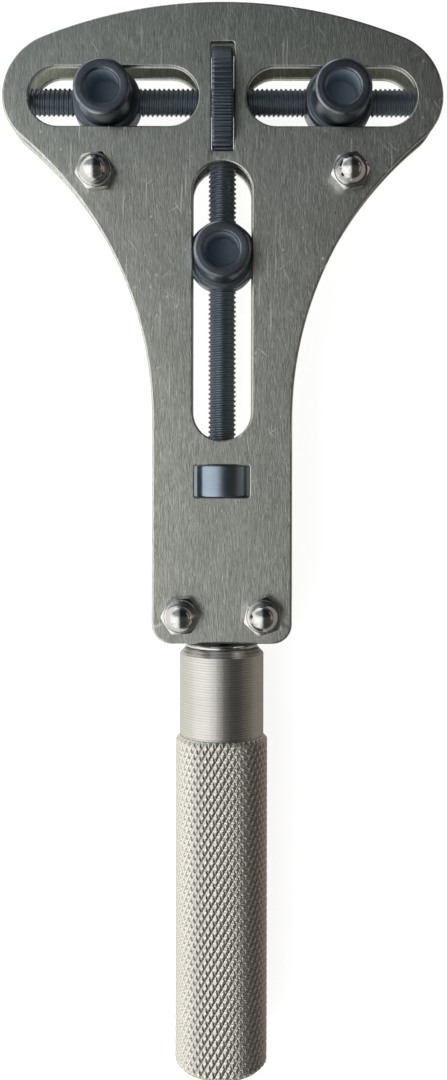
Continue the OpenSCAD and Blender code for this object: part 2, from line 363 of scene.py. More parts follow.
def bump(tree, height, distance, strength=1.0, normal=None):
    """The normal of a relief that is distance metres high, on top of another normal if given."""
    made = node(tree, "Bump", Height=height, Distance=distance, Strength=strength)
    if normal is not None:
        tree.links.new(normal, made.inputs["Normal"])
    return made.outputs["Normal"]


# ---------------------------------------------------------------- materials
def marks(tree, length, width, turn, share, bend=0.0):
    """Sparse marks of about that length and width, in metres: 1 on a mark and 0 elsewhere.

    Each cell of a drawn-out pattern has its mark in the middle, and that share of the cells
    show theirs. A bend, in metres, makes the marks sway.
    """
    reach, sway_scale = 0.22, 90.0
    vector = node(tree, "TexCoord").outputs["Object"]
    if bend:
        sway = node(tree, "TexNoise", Vector=vector, Scale=sway_scale, Detail=1.0)
        vector = node(tree, "VectorMath", p_operation="MULTIPLY_ADD",
                      in0=sway.outputs["Color"], in1=(bend, bend, 0), in2=vector).outputs[0]
    scale = (2 * reach / width, 2 * reach / length, 0)
    vector = node(tree, "Mapping", Vector=vector, Rotation=(0, 0, turn)).outputs[0]
    vector = node(tree, "VectorMath", p_operation="MULTIPLY", in0=vector, in1=scale).outputs[0]
    cells = node(tree, "TexVoronoi", p_voronoi_dimensions="2D", Vector=vector, Scale=1.0,
                 Randomness=1.0).outputs
    near = ramp(tree, cells["Distance"], (0.0, 1), (reach * 0.5, 1), (reach, 0))
    pick = node(tree, "SeparateColor", Color=cells["Color"]).outputs[0]
    return math_node(tree, "MULTIPLY", near, math_node(tree, "LESS_THAN", pick, share))


def plate_wear(tree):
    """Long scratches, crossing strokes and small nicks, in patches, more of them on the left."""
    scratches = marks(tree, length=0.0075, width=0.00028, turn=radians(1), share=0.15,
                      bend=0.0006)
    leaning_left = marks(tree, length=0.0030, width=0.00020, turn=radians(-38), share=0.018,
                         bend=0.004)
    leaning_right = marks(tree, length=0.0026, width=0.00019, turn=radians(52), share=0.014,
                          bend=0.003)
    nicks = marks(tree, length=0.00070, width=0.00048, turn=0.5, share=0.036)
    strokes = math_node(tree, "ADD", leaning_left, leaning_right, clamp=True)
    worn = math_node(tree, "ADD", math_node(tree, "ADD", scratches, strokes), nicks, clamp=True)
    place_in = node(tree, "TexCoord").outputs["Object"]
    sideways = node(tree, "SeparateXYZ", Vector=place_in).outputs[0]
    patches = noise_value(tree, (32, 32, 32), 1.0)
    handled = scaled(tree, sideways, -4.0, patches)
    return math_node(tree, "MULTIPLY", worn, ramp(tree, handled, (0.42, 0.3), (0.56, 1.0)))


def plate_steel():
    """Steel brushed along the plate's length, worn by handling."""
    material, tree, shader = new_material("brushed_plate", Metallic=1.0, Anisotropic=0.45)
    across = node(tree, "Tangent", p_direction_type="RADIAL", p_axis="Y").outputs["Tangent"]
    fine = noise_value(tree, (8000, 900, 900), 2.0, 0.6)
    coarse = noise_value(tree, (3600, 420, 420), 3.0, 0.7)
    cloud = noise_value(tree, (75, 60, 60), 3.0, 0.6)
    mottle = noise_value(tree, (1900, 1300, 1300), 2.0, 0.6)
    grain = scaled(tree, fine, 0.5, scaled(tree, coarse, 0.5))
    worn = plate_wear(tree)
    tone = ramp(tree, grain, (0.38, (0.47, 0.488, 0.436)), (0.5, (0.62, 0.640, 0.580)),
                (0.62, (0.82, 0.840, 0.765)))
    tone = mix_colour(tree, ramp(tree, cloud, (0.35, 0.0), (0.7, 0.3)), tone, (0.48, 0.49, 0.45))
    tone = mix_colour(tree, worn, tone, (0.86, 0.86, 0.79))
    relief = bump(tree, scaled(tree, mottle, 0.14, grain), 0.000050)
    connect(tree, shader, Base_Color=tone, Tangent=across,
            Metallic=ramp(tree, worn, (0.0, 1.0), (1.0, 0.2)),
            Roughness=scaled(tree, mottle, 0.14, 0.23),
            Normal=bump(tree, cloud, 0.00020, 0.6, relief))
    return material


def socket_face(tree, cloud, tone, rough, height):
    """A holder's end face: its tone, roughness, height and metallic sockets.

    Its rings and rubbed edges follow the mesh's "reach" attribute, the distance from the
    holder's axis, and it is matte where the "inside" attribute is 1, in the socket.
    """
    reach = node(tree, "Attribute", p_attribute_name="reach").outputs["Fac"]
    radial = node(tree, "CombineXYZ", X=scaled(tree, reach, 3800.0)).outputs[0]
    height = scaled(tree, noise_value(tree, radial, 2.0, 0.7), 4.5, height)
    centimetres = scaled(tree, reach, 100.0)
    edges = ramp(tree, centimetres,
                 (0.272, 0), (0.282, 1), (0.298, 1), (0.308, 0),
                 (0.428, 0), (0.438, 1), (0.456, 1), (0.466, 0))
    rubbed = math_node(tree, "MULTIPLY", edges, ramp(tree, cloud, (0.42, 0.0), (0.62, 0.6)))
    tone = mix_colour(tree, rubbed, tone, (0.58, 0.59, 0.58))
    inside = node(tree, "Attribute", p_attribute_name="inside").outputs["Fac"]
    matte = ramp(tree, inside, (0.90, 0.0), (0.98, 1.0))
    tone = mix_colour(tree, matte, tone, (0.400, 0.490, 0.565))
    rough = math_node(tree, "MAXIMUM", rough, scaled(tree, matte, 0.95))
    return tone, rough, height, scaled(tree, matte, -0.8, 1.0)


def black_oxide(name, roughness, turned_along=None, wear=0.3, faced=False, shine=1.0,
                metal=1.0):
    """Blue-black oxide on steel, shine times as bright as plain oxide, and metallic by metal.

    turned_along is the axis of its turning lines, if any, and wear is how bare its specks are
    rubbed. A faced part, which is fully metallic outside its socket, has a holder's end face.
    """
    material, tree, shader = new_material(name, Metallic=metal)
    cloud = noise_value(tree, (260, 260, 260), 3.0, 0.6)
    speck = noise_value(tree, (2400, 2400, 2400), 2.0, 0.6)
    dark = [c * shine for c in (0.155, 0.188, 0.222)]
    light = [c * shine for c in (0.198, 0.232, 0.266)]
    tone = ramp(tree, cloud, (0.3, dark), (0.72, light))
    worn = ramp(tree, speck, (0.60, 0.0), (0.78, wear))
    tone = mix_colour(tree, worn, tone, (0.42, 0.44, 0.46))
    rough = scaled(tree, cloud, 0.12, roughness - 0.06)
    height = scaled(tree, speck, 0.4)
    if turned_along is not None:
        scale = [40, 40, 40]
        scale[turned_along] = 6200
        height = math_node(tree, "ADD", height, noise_value(tree, scale, 1.0))
    if faced:
        tone, rough, height, metallic = socket_face(tree, cloud, tone, rough, height)
        connect(tree, shader, Metallic=metallic)
    connect(tree, shader, Base_Color=tone, Roughness=rough,
            Normal=bump(tree, height, 0.000012))
    return material


def polished(name, colour, roughness):
    """Bright metal of that colour, a little clouded and smeared."""
    material, tree, shader = new_material(name, Metallic=1.0)
    cloud = noise_value(tree, (300, 300, 300), 3.0, 0.6)
    smear = noise_value(tree, (900, 900, 900))
    dull = [c * 0.82 for c in colour]
    tone = mix_colour(tree, ramp(tree, cloud, (0.4, 0.0), (0.75, 0.6)), colour, dull)
    connect(tree, shader, Base_Color=tone, Roughness=scaled(tree, cloud, 0.08, roughness),
            Normal=bump(tree, smear, 0.000050))
    return material


def turned_nickel():
    """The handle: fine turning lines round its axis, and a knurl with a painted sheen, thin
    painted highlight lines along its groove bottoms, and dirt and painted shade part way down its
    flanks.

    The mesh's "groove" attribute is 0 on the plain parts, 0.2 on the knurl's flat tops and 1
    at the bottom of its grooves.
    """
    material, tree, shader = new_material("turned_nickel", Metallic=1.0)
    feed = node(tree, "TexWave", Vector=stretched(tree, (2, 1000, 2)), p_bands_direction="Y",
                Scale=0.72, Distortion=1.6, Detail=2.0, Detail_Scale=1.5).outputs["Fac"]
    fine = noise_value(tree, (40, 6500, 40), 2.0, 0.65)
    broad = noise_value(tree, (60, 900, 60))
    cloud = noise_value(tree, (190, 120, 190), 3.0, 0.6)
    lines = scaled(tree, feed, 0.45, scaled(tree, fine, 0.55))
    tone = ramp(tree, lines, (0.25, (0.57, 0.555, 0.515)), (0.75, (0.76, 0.74, 0.69)))
    tarnish = ramp(tree, cloud, (0.4, 0.0), (0.75, 0.35))
    tone = mix_colour(tree, tarnish, tone, (0.56, 0.53, 0.475))
    groove = node(tree, "Attribute", p_attribute_name="groove").outputs["Fac"]
    # The whole knurl is painted lighter than the neck, a painted sheen; its groove bottoms keep
    # this light tone as thin painted highlight lines.
    knurled = ramp(tree, groove, (0.08, 0.0), (0.16, 1.0))
    tone = mix_colour(tree, knurled, tone, (0.90, 0.87, 0.79))
    # A dark band part way down the knurl's flanks, between the light tops and bottoms: dirt and
    # painted shade.
    flank_dirt_and_shade = ramp(tree, groove, (0.38, 0.0), (0.50, 0.55), (0.60, 0.55), (0.72, 0.0))
    tone = mix_colour(tree, flank_dirt_and_shade, tone, (0.20, 0.18, 0.15))
    connect(tree, shader, Base_Color=tone, Roughness=scaled(tree, lines, 0.16, 0.28),
            Normal=bump(tree, scaled(tree, broad, 0.5, lines), 0.000055))
    return material


PLATE_STEEL = plate_steel()
OXIDE_THREAD = black_oxide("oxide_thread", 0.35, wear=0.6, shine=1.1, metal=0.7)
OXIDE_HOLDER = black_oxide("oxide_turned", 0.33, turned_along=2, wear=0.3, faced=True, shine=0.86)
OXIDE_WHEEL = black_oxide("oxide_wheel", 0.36, wear=0.5)
OXIDE_SMOOTH = black_oxide("oxide_smooth", 0.30, turned_along=1, wear=0.9, shine=1.9)
POLISHED_NUT = polished("polished_nut", (0.74, 0.73, 0.70), 0.03)
POLISHED_RING = polished("polished_ring", (0.72, 0.71, 0.69), 0.10)
SCREW_STEEL = polished("screw_steel", (0.52, 0.51, 0.49), 0.22)
BLOCK_STEEL = polished("block_steel", (0.36, 0.355, 0.345), 0.33)
DARK_SCREW = black_oxide("dark_screw", 0.4, wear=0.2)
HANDLE_NICKEL = turned_nickel()


# ---------------------------------------------------------------- plates
def plate_outline():
    """The right half's arcs from the neck's corner to the crown, then the left half."""
    top_x = HALF_WIDTH - SHOULDER_TOP_R
    low_x = HALF_WIDTH - SHOULDER_LOW_R
    crown_y = PLATE_LENGTH - CROWN_R
    shoulder_y = crown_y + sqrt((CROWN_R - SHOULDER_TOP_R) ** 2 - top_x ** 2)
    flank_x = HALF_NECK + FLANK_R
    flank_y = shoulder_y - sqrt((FLANK_R + SHOULDER_LOW_R) ** 2 - (flank_x - low_x) ** 2)
    crown_angle = degrees(atan2(shoulder_y - crown_y, top_x))
    flank_angle = degrees(atan2(shoulder_y - flank_y, low_x - flank_x))
    right = (
        arc((HALF_NECK - CORNER_R, CORNER_R), CORNER_R, -90, 0, 16)
        + arc((flank_x, flank_y), FLANK_R, 180, flank_angle, 48)
        + arc((low_x, shoulder_y), SHOULDER_LOW_R, flank_angle - 180, 0, 24)[1:]
        + arc((top_x, shoulder_y), SHOULDER_TOP_R, 0, crown_angle, 24)[1:]
        + arc((0, crown_y), CROWN_R, crown_angle, 90, 32)[1:]
    )
    left = [(-x, y) for x, y in reversed(right[:-1])]
    return right + left


def slot_outline(low, high):
    """A slot with round ends, clockwise, between its extreme ends along X or Y."""
    r = SLOT_W / 2
    turn = 0 if high[0] - low[0] > high[1] - low[1] else 90
    along = (cos(radians(turn)), sin(radians(turn)))
    start = (low[0] + r * along[0], low[1] + r * along[1])
    end = (high[0] - r * along[0], high[1] - r * along[1])
    return (arc(end, r, turn + 90, turn - 90, 28)
            + arc(start, r, turn - 90, turn - 270, 28))


def window_outline(half_width, low_y, high_y):
    """A rectangle with small round corners, clockwise."""
    r = WINDOW_CORNER_R
    x = half_width - r
    return (arc((x, high_y - r), r, 90, 0, 5) + arc((x, low_y + r), r, 0, -90, 5)
            + arc((-x, low_y + r), r, -90, -180, 5) + arc((-x, high_y - r), r, 180, 90, 5))


def screw_holes(spot):
    """The outlines, clockwise, of the hole left of the middle and of the one on the right."""
    return [arc((side * spot[0], spot[1]), SCREW_HOLE_R, 360, 0, 32)[:-1] for side in (-1, 1)]


def inset(loop, distance):
    """The loop moved to its left, which is into the metal, by that distance."""
    moved = []
    count = len(loop)
    for i, point in enumerate(loop):
        before, after = Vector(loop[i - 1]), Vector(loop[(i + 1) % count])
        here = Vector(point)
        first, second = (here - before).normalized(), (after - here).normalized()
        normal = Vector((-first.y - second.y, first.x + second.x)).normalized()
        lean = max(0.5, normal.dot(Vector((-first.y, first.x))))
        moved.append(tuple(here + normal * (distance / lean)))
    return moved


def slab(name, loops, low_z, high_z):
    """A flat part of (loop, edge radius) pairs, its outline first and its holes after it."""
    steps = 4
    bm = bmesh.new()
    caps = {low_z: [], high_z: []}
    for loop, radius in loops:
        rings = []
        for k in range(steps + 1):
            a = pi / 2 * k / steps
            rings.append((inset(loop, radius * (1 - sin(a))), low_z + radius * (1 - cos(a))))
        rings += [(points, high_z + low_z - z) for points, z in reversed(rings)]
        made = [[bm.verts.new(v) for v in place([(x, y, z) for x, y in points])]
                for points, z in rings]
        for low, high in zip(made, made[1:]):
            for i in range(len(loop)):
                n = (i + 1) % len(loop)
                bm.faces.new((low[i], low[n], high[n], high[i]))
        caps[low_z].append(made[0])
        caps[high_z].append(made[-1])
    for rings in caps.values():
        edges = [bm.edges.get((ring[i], ring[(i + 1) % len(ring)]))
                 for ring in rings for i in range(len(ring))]
        bmesh.ops.triangle_fill(bm, edges=edges, use_beauty=True)
    bmesh.ops.recalc_face_normals(bm, faces=bm.faces)
    mesh = bpy.data.meshes.new(name)
    bm.to_mesh(mesh)
    bm.free()
    return mesh


def plate_loops():
    """The plate's outline, slots, windows and holes, each with the radius of its edge."""
    inner, outer = CROSS_SLOT
    side_gap, end_gap = WINDOW_GAP
    wheel_half_y = sqrt(WHEEL_R ** 2 - PLATE_INNER_Z ** 2) + end_gap
    collar_half_x = sqrt(COLLAR_R ** 2 - PLATE_INNER_Z ** 2) + end_gap
    slots = [slot_outline((inner, CROSS_Y), (outer, CROSS_Y)),
             slot_outline((-outer, CROSS_Y), (-inner, CROSS_Y)),
             slot_outline((0, LONG_SLOT[0]), (0, LONG_SLOT[1]))]
    windows = [window_outline(WHEEL_HALF_W + side_gap, CROSS_Y - wheel_half_y,
                              CROSS_Y + wheel_half_y),
               window_outline(collar_half_x, *COLLAR_WINDOW_Y)]
    holes = screw_holes(UPPER_SCREW) + screw_holes(LOWER_SCREW)
    loops = [(plate_outline(), OUTLINE_EDGE_R)]
    loops += [(slot, SLOT_EDGE_R) for slot in slots]
    loops += [(window, WINDOW_EDGE_R) for window in windows]
    loops += [(hole, HOLE_EDGE_R) for hole in holes]
    return loops


def make_plates():
    loops = plate_loops()
    for name, low, high in (("front_plate", PLATE_INNER_Z, PLATE_OUTER_Z),
                            ("back_plate", -PLATE_OUTER_Z, -PLATE_INNER_Z)):
        mesh = slab("steel_" + name, loops, low, high)
        finish_piece(mesh, [name], "frame", PLATE_STEEL, smooth=50)


# ---------------------------------------------------------------- parts between the plates
def make_spacers():
    outer_r, rounding, z = 3.0, 0.18, PLATE_INNER_Z
    profile = filleted([(SCREW_HOLE_R, z), (SCREW_HOLE_R, -z), (outer_r, -z), (outer_r, z)],
                       rounding, closed=True)
    for side, name in ((-1, "upper_spacer_left"), (1, "upper_spacer_right")):
        mesh = make_mesh("sleeve_" + name, revolved(profile, 48, closed=True),
                         offset=(side * UPPER_SCREW[0], UPPER_SCREW[1], 0))
        finish_piece(mesh, [name], "frame", BLOCK_STEEL)


def make_block():
    """The block between the plates, with a bore for the journal."""
    corner_r, edge_r = 1.0, 0.2
    half_w = block_box[1].x
    low_y, high_y = block_box[0].y - DATUM.y, block_box[1].y - DATUM.y
    outline = filleted([(-half_w, low_y), (half_w, low_y), (half_w, high_y), (-half_w, high_y)],
                       corner_r, steps=5, closed=True)
    loops = [(outline, edge_r)] + [(hole, HOLE_EDGE_R) for hole in screw_holes(LOWER_SCREW)]
    block = slab("journal_block", loops, -PLATE_INNER_Z, PLATE_INNER_Z)
    bore = rod(JOURNAL_R + BORE_GAP, low_y - 1, high_y + 1, 48)
    mesh = cut(block, make_mesh("bore", bore, ALONG_Y))
    finish_piece(mesh, ["bearing_block"], "frame", BLOCK_STEEL)


# ---------------------------------------------------------------- fasteners
def hex_radius(angle, flats):
    """Distance to the side of a hexagon at that angle, with softened corners."""
    softening, corner = 0.25, pi / 6
    side = flats / 2 / cos(angle % (pi / 3) - corner)
    return min(side, flats / 2 / cos(corner) - softening * (1 - cos(corner)) * 2)


def cap_nut(turn):
    """A shell of a domed hexagon nut standing on z = 0, turned about Z by that angle."""
    flats, hex_h, height, dome_r = 5.8, 2.4, 5.6, 2.4
    foot_r, foot_h, edge_r, fillet = 2.7, 0.08, 2.75, 0.12
    per_side, slope = 16, tan(radians(30))
    count = 6 * per_side
    angles = [2 * pi * k / count for k in range(count)]
    sides = [hex_radius(a, flats) for a in angles]
    dome = [(edge_r, hex_h), (dome_r + fillet, hex_h)]
    dome += arc((dome_r + fillet, hex_h + fillet), fillet, 270, 180, 2)[1:]
    dome += arc((0, height - dome_r), dome_r, 0, 86, 14)
    rows = [[(foot_r, 0.0)] * count, [(foot_r, foot_h)] * count]
    rows.append([(s, foot_h + max(0, s - foot_r) * slope) for s in sides])
    rows.append([(s, hex_h - max(0, s - edge_r) * slope) for s in sides])
    rows += [[point] * count for point in dome]
    verts, faces = [(0, 0, 0)], []
    for row in rows:
        verts += [(r * cos(a + turn), r * sin(a + turn), z) for a, (r, z) in zip(angles, row)]
    verts.append((0, 0, height))
    last = 1 + (len(rows) - 1) * count
    for k in range(count):
        n = (k + 1) % count
        faces.append([0, 1 + n, 1 + k])
        for base in range(1, last, count):
            faces.append([base + k, base + n, base + count + n, base + count + k])
        faces.append([last + k, last + n, len(verts) - 1])
    return verts, faces


def screw(turn):
    """A shell of a cheese-head screw that enters from below, turned about Z by that angle."""
    shank_r, head_rounding, tip = 1.5, 0.35, 0.3
    seat, end_z = -PLATE_OUTER_Z, PLATE_OUTER_Z + 3.2
    low = seat - SCREW_HEAD_H
    head = filleted([(0, low), (SCREW_HEAD_R, low), (SCREW_HEAD_R, seat)], head_rounding, 4)
    shank = [(shank_r, seat), (shank_r, end_z - tip), (shank_r - tip, end_z), (0, end_z)]
    verts, faces = revolved(head + shank, 48)
    return [Matrix.Rotation(turn, 3, "Z") @ Vector(v) for v in verts], faces


def box_shell(size, centre, turn):
    """A shell of a box, turned about its own upright axis."""
    corners = [(x, y, z) for x in (-1, 1) for y in (-1, 1) for z in (-1, 1)]
    spin = Matrix.Rotation(turn, 3, "Z")
    verts = [spin @ Vector([c * s / 2 for c, s in zip(corner, size)]) + Vector(centre)
             for corner in corners]
    faces = [(0, 1, 3, 2), (4, 6, 7, 5), (0, 4, 5, 1), (2, 3, 7, 6), (0, 2, 6, 4), (1, 5, 7, 3)]
    return verts, faces


def make_fasteners():
    """Each screw with its nut, at its own pair of angles, in degrees."""
    slot_size = (8, 0.8, 1.6)
    spots = {
        "upper_left": (-UPPER_SCREW[0], UPPER_SCREW[1], 8, 20),
        "upper_right": (UPPER_SCREW[0], UPPER_SCREW[1], 12, -35),
        "lower_left": (-LOWER_SCREW[0], LOWER_SCREW[1], 3, 70),
        "lower_right": (LOWER_SCREW[0], LOWER_SCREW[1], 18, 5),
    }
    for where, (x, y, nut_turn, slot_turn) in spots.items():
        mesh = make_mesh("acorn_nut_" + where, cap_nut(radians(nut_turn)),
                         offset=(x, y, PLATE_OUTER_Z))
        finish_piece(mesh, ["cap_nut_" + where], "frame", POLISHED_NUT, smooth=30)
        mesh = make_mesh("slotted_screw_" + where, screw(radians(slot_turn)), offset=(x, y, 0))
        groove = box_shell(slot_size, (0, 0, -PLATE_OUTER_Z - SCREW_HEAD_H), radians(slot_turn))
        mesh = cut(mesh, make_mesh("groove", groove, offset=(x, y, 0)))
        finish_piece(mesh, ["screw_" + where], "frame", SCREW_STEEL, smooth=30)


# ---------------------------------------------------------------- spindles
def threaded_bar(low, high, plain_below):
    """A bmesh bar about Z with a true right-hand helical thread, open at its lower end.

    Each row of the grid climbs one pitch in a turn, so crests and roots run along edges.
    """
    segments, chamfer, tip_r = 48, 0.35, 0.2
    radius, root, pitch = SPINDLE_R, SPINDLE_R - THREAD_DEPTH, THREAD_PITCH
    form = ((0.0, radius), (0.16, radius), (0.46, root), (0.70, root))
    per_turn = len(form)
    rows = int(ceil((high - low) / pitch + 3)) * per_turn
    bm = bmesh.new()
    grid = []
    for i in range(rows):
        share, r = form[i % per_turn]
        base = low - 2 * pitch + (i // per_turn + share) * pitch
        line = []
        for k in range(segments):
            a = 2 * pi * k / segments
            z = base + pitch * k / segments
            run_out = min(1, max(0, (z - plain_below) / (2 * pitch)))
            here = radius - (radius - r) * run_out
            here = min(here, max(tip_r, radius - chamfer + (high - z)))
            line.append(bm.verts.new((here * cos(a), here * sin(a), z)))
        grid.append(line)
    for i in range(rows - 1):
        for k in range(segments - 1):
            bm.faces.new((grid[i][k], grid[i][k + 1], grid[i + 1][k + 1], grid[i + 1][k]))
        if i + per_turn + 1 < rows:
            bm.faces.new((grid[i][-1], grid[i + per_turn][0],
                          grid[i + per_turn + 1][0], grid[i + 1][-1]))
    for height, up in ((high, 1), (low, -1)):
        bmesh.ops.bisect_plane(bm, geom=bm.verts[:] + bm.edges[:] + bm.faces[:], dist=1e-6,
                               plane_co=(0, 0, height), plane_no=(0, 0, up), clear_outer=True)
    top = [e for e in bm.edges if e.is_boundary and all(v.co.z > high - 1e-4 for v in e.verts)]
    bmesh.ops.holes_fill(bm, edges=top)
    return bm


def shell_of(bm):
    """The shell of a bmesh, which is freed."""
    bm.verts.index_update()
    verts = [v.co.copy() for v in bm.verts]
    faces = [[v.index for v in f.verts] for f in bm.faces]
    bm.free()
    return verts, faces


def make_cross_spindle():
    """A threaded half on each side of the wheel. They mirror each other, so one is left-handed."""
    plain_half = 2.0
    verts, faces = shell_of(threaded_bar(0, CROSS_HALF_LENGTH, plain_half))
    count = len(verts)
    verts += [Vector((v.x, v.y, -v.z)) for v in verts]
    faces += [[count + i for i in reversed(face)] for face in faces]
    mesh = make_mesh("threaded_cross_spindle", (verts, faces), ALONG_X, (0, CROSS_Y, 0))
    weld(mesh, 1e-8)
    finish_piece(mesh, ["cross_spindle"], "wheel_group", OXIDE_THREAD, smooth=28)


def make_long_spindle():
    """The threaded rod of the lower holder, and the journal that runs down into the handle."""
    start, tip, overlap, plain = COLLAR_Y[0], 0.3, 2, 0.2
    bm = threaded_bar(start, LONG_TIP_Y, COLLAR_Y[1] + plain)
    bmesh.ops.holes_fill(bm, edges=[e for e in bm.edges if e.is_boundary])
    journal = revolved([(0, LONG_LOW_Y), (JOURNAL_R - tip, LONG_LOW_Y),
                        (JOURNAL_R, LONG_LOW_Y + tip), (JOURNAL_R, start + overlap),
                        (0, start + overlap)], 40)
    mesh = cut(make_mesh("threaded_long_spindle", shell_of(bm), ALONG_Y),
               make_mesh("journal", journal, ALONG_Y), "UNION")
    finish_piece(mesh, ["lower_spindle"], "handle_group", OXIDE_THREAD, smooth=28)


# ---------------------------------------------------------------- thumbwheel
def make_thumbwheel():
    """A disc with straight ribs across its rim, bevelled edges and a recess round its hub."""
    half, root, bevel, soft = WHEEL_HALF_W, WHEEL_R - 0.34, 0.42, 0.03
    hub_r, wall, recess, slope = 4.2, 1.5, 0.25, 0.3
    rib = ((0.0, WHEEL_R), (0.30, WHEEL_R), (0.42, root + 0.1), (0.55, root), (0.75, root),
           (0.88, root + 0.1))
    count = WHEEL_TEETH * len(rib)
    angles = [2 * pi * (tooth + share) / WHEEL_TEETH
              for tooth in range(WHEEL_TEETH) for share, _ in rib]
    radii = [r for _ in range(WHEEL_TEETH) for _, r in rib]
    rim = [(WHEEL_R - bevel - soft, 0), (WHEEL_R - bevel, soft), (WHEEL_R, bevel)]
    side = [(WHEEL_R - wall, 0), (WHEEL_R - wall - slope, recess), (hub_r + slope, recess),
            (hub_r, 0), (SPINDLE_R, 0)]
    rows = [[(min(r, limit), -half + depth) for r in radii] for limit, depth in rim]
    rows += [[(min(r, limit), half - depth) for r in radii] for limit, depth in reversed(rim)]
    rows += [[(r, half - depth)] * count for r, depth in side]
    rows += [[(r, -half + depth)] * count for r, depth in reversed(side)]
    verts, faces = [], []
    for j, row in enumerate(rows):
        verts += [(r * cos(a), r * sin(a), z) for a, (r, z) in zip(angles, row)]
        low, high = j * count, (j + 1) % len(rows) * count
        for k in range(count):
            n = (k + 1) % count
            faces.append([low + k, low + n, high + n, high + k])
    mesh = make_mesh("ribbed_thumbwheel", (verts, faces), ALONG_X, (0, CROSS_Y, 0))
    finish_piece(mesh, ["thumbwheel"], "wheel_group", OXIDE_WHEEL, smooth=30)


# ---------------------------------------------------------------- bit holders
def holder_mesh(name, x, y, bore_turn):
    """A holder standing at (x, y), bored for its spindle, with the attributes of its face."""
    flange_bevel, rim_bevel, socket_bevel, rounding = 0.5, 0.4, 0.3, 0.14
    floor_z = RIM_Z - SOCKET_DEPTH
    profile = [
        (0, BOSS_Z), (BARREL_R, BOSS_Z), (BARREL_R, -FLANGE_HALF_T), (FLANGE_R, -FLANGE_HALF_T),
        (FLANGE_R, FLANGE_HALF_T - flange_bevel), (FLANGE_R - flange_bevel, FLANGE_HALF_T),
        (BARREL_R, FLANGE_HALF_T), (BARREL_R, RIM_Z - rim_bevel), (BARREL_R - rim_bevel, RIM_Z),
        (SOCKET_R + socket_bevel, RIM_Z), (SOCKET_R, RIM_Z - socket_bevel),
        (SOCKET_R, floor_z), (0, floor_z),
    ]
    mesh = make_mesh(name, revolved(filleted(profile, rounding), 96), offset=(x, y, 0))
    bore = rod(SPINDLE_R + BORE_GAP, -9, 9, 48)
    mesh = cut(mesh, make_mesh("bore", bore, bore_turn, (x, y, 0)))
    weld(mesh, 3e-6)
    axis_x, axis_y, wall_low = place([(x, y, floor_z - 0.1)])[0]
    wall_r = (SOCKET_R + 0.02) * MM
    reach = [hypot(v.co.x - axis_x, v.co.y - axis_y) for v in mesh.vertices]
    inside = [float(r < wall_r and v.co.z > wall_low) for r, v in zip(reach, mesh.vertices)]
    set_attribute(mesh, "reach", reach)
    set_attribute(mesh, "inside", inside)
    return mesh


def make_holders():
    for name, body, x, y, bore_turn in (
            ("holder_left", "left_holder", -HOLDER_X, CROSS_Y, ALONG_X),
            ("holder_right", "right_holder", HOLDER_X, CROSS_Y, ALONG_X),
            ("holder_lower", "lower_holder", 0, LOWER_HOLDER_Y, ALONG_Y)):
        mesh = holder_mesh("socket_" + name, x, y, bore_turn)
        finish_piece(mesh, [name], body, OXIDE_HOLDER, smooth=35)


# ---------------------------------------------------------------- collar, washer and handle
def make_collar():
    low, high = COLLAR_Y
    profile = filleted([(SPINDLE_R, low), (SPINDLE_R, high), (COLLAR_R, high), (COLLAR_R, low)],
                       0.2, closed=True)
    mesh = make_mesh("smooth_collar", revolved(profile, 96, closed=True), ALONG_Y)
    finish_piece(mesh, ["thrust_collar"], "handle_group", OXIDE_SMOOTH)


def make_washer():
    """A ring with a round outer edge."""
    low, high = WASHER_Y
    rounding, bevel = (high - low) / 2, 0.05
    profile = [(JOURNAL_R, high - bevel), (JOURNAL_R, low + bevel), (JOURNAL_R + bevel, low)]
    profile += arc((WASHER_R - rounding, low + rounding), rounding, -90, 90, 8)
    profile.append((JOURNAL_R + bevel, high))
    mesh = make_mesh("polished_washer", revolved(profile, 96, closed=True), ALONG_Y)
    finish_piece(mesh, ["thrust_washer"], "handle_group", POLISHED_RING)


def knurled_sleeve(radius, low, high, low_chamfer, high_chamfer):
    """An open bmesh tube about Z covered with cut diamonds, its ends chamfered.

    Two lattices of diamonds interlock. Each one is a pyramid with a flat top, which is crest
    of a cell long, along the diagonal that leans right, and crest_w wide.
    """
    width, height = 2 * pi / KNURL_AROUND, (high - low) / KNURL_ROWS
    crest, crest_w, top_level = 0.46, 0.22, 0.2
    bm = bmesh.new()
    level = bm.verts.layers.float.new("groove")

    def corner(column, row, r, groove):
        a = column * width
        made = bm.verts.new((r * cos(a), r * sin(a), low + row * height))
        made[level] = groove
        return made

    around = ((1, 0), (0, 1), (-1, 0), (0, -1))
    for half_row in range(-1, 2 * KNURL_ROWS + 2):
        for step in range(KNURL_AROUND):
            row, column = half_row / 2, step + (half_row % 2) / 2
            tops = [corner(column + (crest * (dx + dy) + crest_w * (dx - dy)) / 4,
                           row + (crest * (dx + dy) - crest_w * (dx - dy)) / 4,
                           radius, top_level)
                    for dx, dy in around]
            feet = [corner(column + dx / 2, row + dy / 2, radius - KNURL_DEPTH, 1)
                    for dx, dy in around]
            bm.faces.new(tops)
            for i in range(4):
                n = (i + 1) % 4
                bm.faces.new((feet[i], feet[n], tops[n], tops[i]))
    bmesh.ops.remove_doubles(bm, verts=bm.verts, dist=1e-4)
    for z in (low, low + low_chamfer, high - high_chamfer, high):
        bmesh.ops.bisect_plane(bm, geom=bm.verts[:] + bm.edges[:] + bm.faces[:], dist=1e-3,
                               plane_co=(0, 0, z), plane_no=(0, 0, 1),
                               clear_inner=z == low, clear_outer=z == high)
    for v in bm.verts:
        from_end = min((v.co.z - low) / low_chamfer, (high - v.co.z) / high_chamfer)
        chamfer = low_chamfer if v.co.z < (low + high) / 2 else high_chamfer
        limit = radius - chamfer * (1 - min(1, from_end))
        r = hypot(v.co.x, v.co.y)
        if r > limit:
            v.co.x, v.co.y = v.co.x * limit / r, v.co.y * limit / r
            v[level] *= 0.3
    return bm


